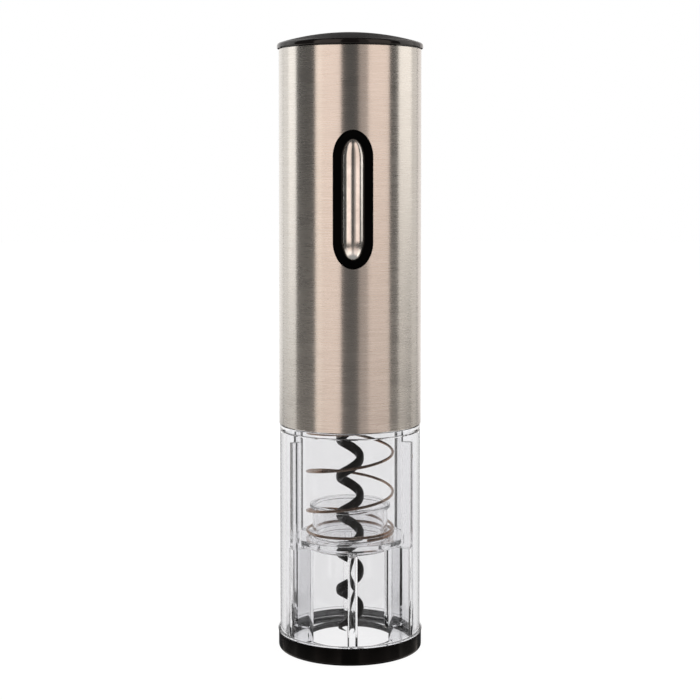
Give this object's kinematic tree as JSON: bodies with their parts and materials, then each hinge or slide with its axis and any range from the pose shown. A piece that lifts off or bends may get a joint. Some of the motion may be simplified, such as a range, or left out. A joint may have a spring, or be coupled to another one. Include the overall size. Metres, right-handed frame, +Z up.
{
  "type": "electric wine opener",
  "caption": "Cordless bottle opener: a worm driven through a gearbox draws the cork up inside a clear guide; a rocker runs it both ways.",
  "frame": {"origin": "middle of the base ring's underside, on the worm's axis", "axes": "+Z up along the worm's axis, -Y towards the switch"},
  "size_m": [0.0522, 0.0529, 0.2213],
  "materials": {
    "brushed_stainless_steel": "fine brushed round the body, satin",
    "zinc_plated_steel": "bright zinc plate",
    "spring_steel": "drawn and polished wire",
    "satin_plated_button": "satin plated",
    "clear_polycarbonate": "clear, moulded, polished",
    "gloss_black_abs": "moulded, high gloss",
    "grey_abs": "moulded, fine texture",
    "black_coated_steel": "non-stick coating, satin",
    "white_acetal": "moulded, smooth",
    "green_glass_epoxy": "solder resist",
    "cell_jacket": "printed film, no text",
    "varnished_iron": "varnished laminations and wire",
    "red_wire_sheath": "extruded",
    "black_wire_sheath": "extruded"
  },
  "bodies": {
    "opener_body": {"body_sleeve": "brushed_stainless_steel", "clear_housing": "clear_polycarbonate", "base_ring": "gloss_black_abs", "bulkhead": "grey_abs", "bulkhead_screw_1": "zinc_plated_steel", "bulkhead_screw_2": "zinc_plated_steel", "bulkhead_screw_3": "zinc_plated_steel", "bulkhead_screw_4": "zinc_plated_steel", "chassis_front": "grey_abs", "chassis_rear": "grey_abs", "switch_bezel": "gloss_black_abs", "switch_circuit_board": "green_glass_epoxy", "upper_switch_case": "grey_abs", "lower_switch_case": "grey_abs", "battery_1": "cell_jacket", "battery_2": "cell_jacket", "battery_3": "cell_jacket", "battery_4": "cell_jacket", "battery_cradle": "grey_abs", "lower_contact_board": "green_glass_epoxy", "lower_contact_1": "zinc_plated_steel", "lower_contact_2": "zinc_plated_steel", "motor_can": "zinc_plated_steel", "motor_end_cap": "grey_abs", "motor_lead_red": "red_wire_sheath", "motor_lead_black": "black_wire_sheath", "motor_screw_1": "zinc_plated_steel", "motor_screw_2": "zinc_plated_steel", "gearbox_ring_gear": "grey_abs", "gearbox_end_plate": "grey_abs", "gearbox_top_plate": "zinc_plated_steel", "gearbox_screw_1": "zinc_plated_steel", "gearbox_screw_2": "zinc_plated_steel", "gearbox_screw_3": "zinc_plated_steel", "spindle_bush": "zinc_plated_steel", "return_spring": "spring_steel"},
    "cap": {"top_cap": "gloss_black_abs", "cap_contact_board": "green_glass_epoxy", "cap_contact_1": "zinc_plated_steel", "cap_contact_2": "zinc_plated_steel"},
    "rocker": {"rocker_button": "satin_plated_button"},
    "upper_plunger": {"upper_switch_plunger": "white_acetal"},
    "lower_plunger": {"lower_switch_plunger": "white_acetal"},
    "cup": {"cork_cup": "clear_polycarbonate"},
    "spindle": {"worm": "black_coated_steel", "worm_chuck": "zinc_plated_steel", "output_carrier": "zinc_plated_steel"},
    "first_stage": {"first_carrier": "zinc_plated_steel", "second_sun_gear": "zinc_plated_steel"},
    "rotor": {"motor_armature": "varnished_iron", "motor_pinion": "zinc_plated_steel"},
    "low_planet_1": {"low_planet_gear_1": "white_acetal"},
    "low_planet_2": {"low_planet_gear_2": "white_acetal"},
    "low_planet_3": {"low_planet_gear_3": "white_acetal"},
    "high_planet_1": {"high_planet_gear_1": "white_acetal"},
    "high_planet_2": {"high_planet_gear_2": "white_acetal"},
    "high_planet_3": {"high_planet_gear_3": "white_acetal"}
  },
  "joints": [
    {"name": "cup_slide", "type": "slide", "parent": "opener_body", "child": "cup", "axis": [0, 0, 1], "range_m": [0, 0.028], "stiffness_N_per_m": 90, "springref_m": -0.02, "deforming": ["return_spring"]},
    {"name": "cap_lift", "type": "slide", "parent": "opener_body", "child": "cap", "axis": [0, 0, 1], "range_m": [0, 0.025]},
    {"name": "rocker_tilt", "type": "hinge", "parent": "opener_body", "child": "rocker", "pos_m": [0, -0.0218, 0.1622], "axis": [1, 0, 0], "range_deg": [-3.5, 3.5], "stiffness_Nm_per_rad": 0.2},
    {"name": "upper_plunger_slide", "type": "slide", "parent": "opener_body", "child": "upper_plunger", "axis": [0, 1, 0], "range_m": [-0.0009, 0.0009]},
    {"name": "lower_plunger_slide", "type": "slide", "parent": "opener_body", "child": "lower_plunger", "axis": [0, 1, 0], "range_m": [-0.0009, 0.0009]},
    {"name": "worm_spin", "type": "hinge", "parent": "opener_body", "child": "spindle", "pos_m": [0, 0, 0.05], "axis": [0, 0, 1], "continuous": true},
    {"name": "first_stage_spin", "type": "hinge", "parent": "opener_body", "child": "first_stage", "pos_m": [0, 0, 0.1], "axis": [0, 0, 1], "continuous": true},
    {"name": "rotor_spin", "type": "hinge", "parent": "opener_body", "child": "rotor", "pos_m": [0, 0, 0.12], "axis": [0, 0, 1], "continuous": true},
    {"name": "low_planet_1_spin", "type": "hinge", "parent": "spindle", "child": "low_planet_1", "pos_m": [0.00877, 0, 0.1], "axis": [0, 0, 1], "continuous": true},
    {"name": "low_planet_2_spin", "type": "hinge", "parent": "spindle", "child": "low_planet_2", "pos_m": [-0.00439, 0.0076, 0.1], "axis": [0, 0, 1], "continuous": true},
    {"name": "low_planet_3_spin", "type": "hinge", "parent": "spindle", "child": "low_planet_3", "pos_m": [-0.00439, -0.0076, 0.1], "axis": [0, 0, 1], "continuous": true},
    {"name": "high_planet_1_spin", "type": "hinge", "parent": "first_stage", "child": "high_planet_1", "pos_m": [0.00877, 0, 0.1], "axis": [0, 0, 1], "continuous": true},
    {"name": "high_planet_2_spin", "type": "hinge", "parent": "first_stage", "child": "high_planet_2", "pos_m": [-0.00439, 0.0076, 0.1], "axis": [0, 0, 1], "continuous": true},
    {"name": "high_planet_3_spin", "type": "hinge", "parent": "first_stage", "child": "high_planet_3", "pos_m": [-0.00439, -0.0076, 0.1], "axis": [0, 0, 1], "continuous": true}
  ],
  "couplings": [
    {"joint": "upper_plunger_slide", "follows": "rocker_tilt", "m_per_rad": -0.014},
    {"joint": "lower_plunger_slide", "follows": "rocker_tilt", "m_per_rad": 0.014},
    {"joint": "first_stage_spin", "follows": "worm_spin", "ratio": 4.5},
    {"joint": "rotor_spin", "follows": "worm_spin", "ratio": 20.25},
    {"joint": "low_planet_1_spin", "follows": "worm_spin", "ratio": -2.8},
    {"joint": "low_planet_2_spin", "follows": "worm_spin", "ratio": -2.8},
    {"joint": "low_planet_3_spin", "follows": "worm_spin", "ratio": -2.8},
    {"joint": "high_planet_1_spin", "follows": "worm_spin", "ratio": -12.6},
    {"joint": "high_planet_2_spin", "follows": "worm_spin", "ratio": -12.6},
    {"joint": "high_planet_3_spin", "follows": "worm_spin", "ratio": -12.6}
  ]
}
